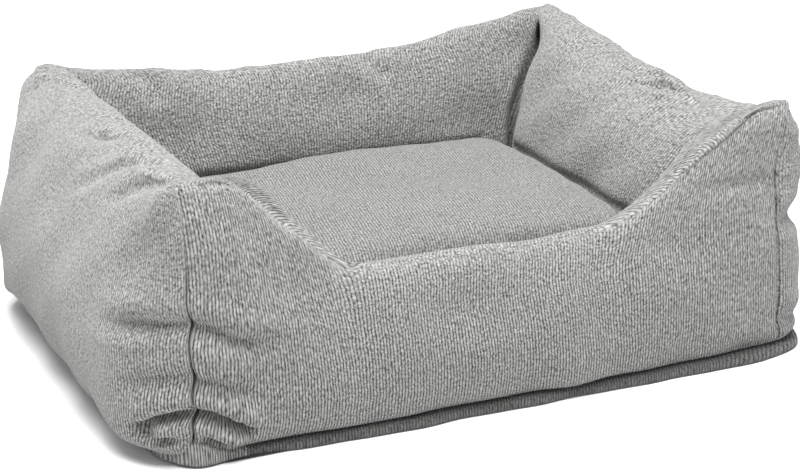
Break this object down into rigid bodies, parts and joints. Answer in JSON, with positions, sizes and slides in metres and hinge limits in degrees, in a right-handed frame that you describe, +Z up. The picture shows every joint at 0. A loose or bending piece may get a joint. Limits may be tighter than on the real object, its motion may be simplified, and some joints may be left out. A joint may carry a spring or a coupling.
{
  "type": "pet cushion bed",
  "caption": "Rectangular pet bed with a ring of stuffed fabric bolsters, a low front entry, a flat quilted base and a loose zipped cushion.",
  "frame": {"origin": "on the floor under the middle of the bed", "axes": "+X to the right seen from the low entry, +Y from the entry to the back bolster, +Z up"},
  "size_m": [0.7052, 0.5022, 0.2698],
  "materials": {
    "knit": "fine light grey cord knit with a chenille-like pile",
    "cushion_knit": "the same light grey cord knit, a little smoother",
    "fibre": "loose white polyester fibre",
    "lining": "plain woven grey lining",
    "underside": "dark non-woven sheet with rubbery grip dots",
    "tape": "ribbed woven zip tape",
    "zip_plastic": "nylon coil",
    "zip_metal": "satin zinc alloy"
  },
  "bodies": {
    "bed": {"front_bolster_outer_panel": "knit", "front_bolster_inner_panel": "knit", "front_bolster_filling": "fibre", "back_bolster_outer_panel": "knit", "back_bolster_inner_panel": "knit", "back_bolster_filling": "fibre", "left_bolster_outer_panel": "knit", "left_bolster_inner_panel": "knit", "left_bolster_filling": "fibre", "right_bolster_outer_panel": "knit", "right_bolster_inner_panel": "knit", "right_bolster_filling": "fibre", "base_underside": "underside", "base_wadding": "fibre", "base_lip": "knit", "base_top_sheet": "lining"},
    "cushion": {"cushion_cover_upper": "cushion_knit", "cushion_cover_lower": "cushion_knit", "cushion_filling": "fibre", "zip_tape_upper": "tape", "zip_tape_lower": "tape", "zip_coil": "zip_plastic", "zip_stop_left": "zip_metal", "zip_stop_right": "zip_metal"},
    "slider": {"zip_slider": "zip_metal"},
    "pull": {"zip_pull": "zip_metal"}
  },
  "joints": [
    {"name": "cushion_lift", "type": "slide", "parent": "bed", "child": "cushion", "axis": [0, 0, 1], "range_m": [0, 0.3]},
    {"name": "zip_slide", "type": "slide", "parent": "cushion", "child": "slider", "axis": [1, 0, 0], "range_m": [0, 0.284]},
    {"name": "zip_pull_flip", "type": "hinge", "parent": "slider", "child": "pull", "pos_m": [-0.142, 0.1583, 0.05], "axis": [0, 0, 1], "range_deg": [-175, 0]}
  ]
}
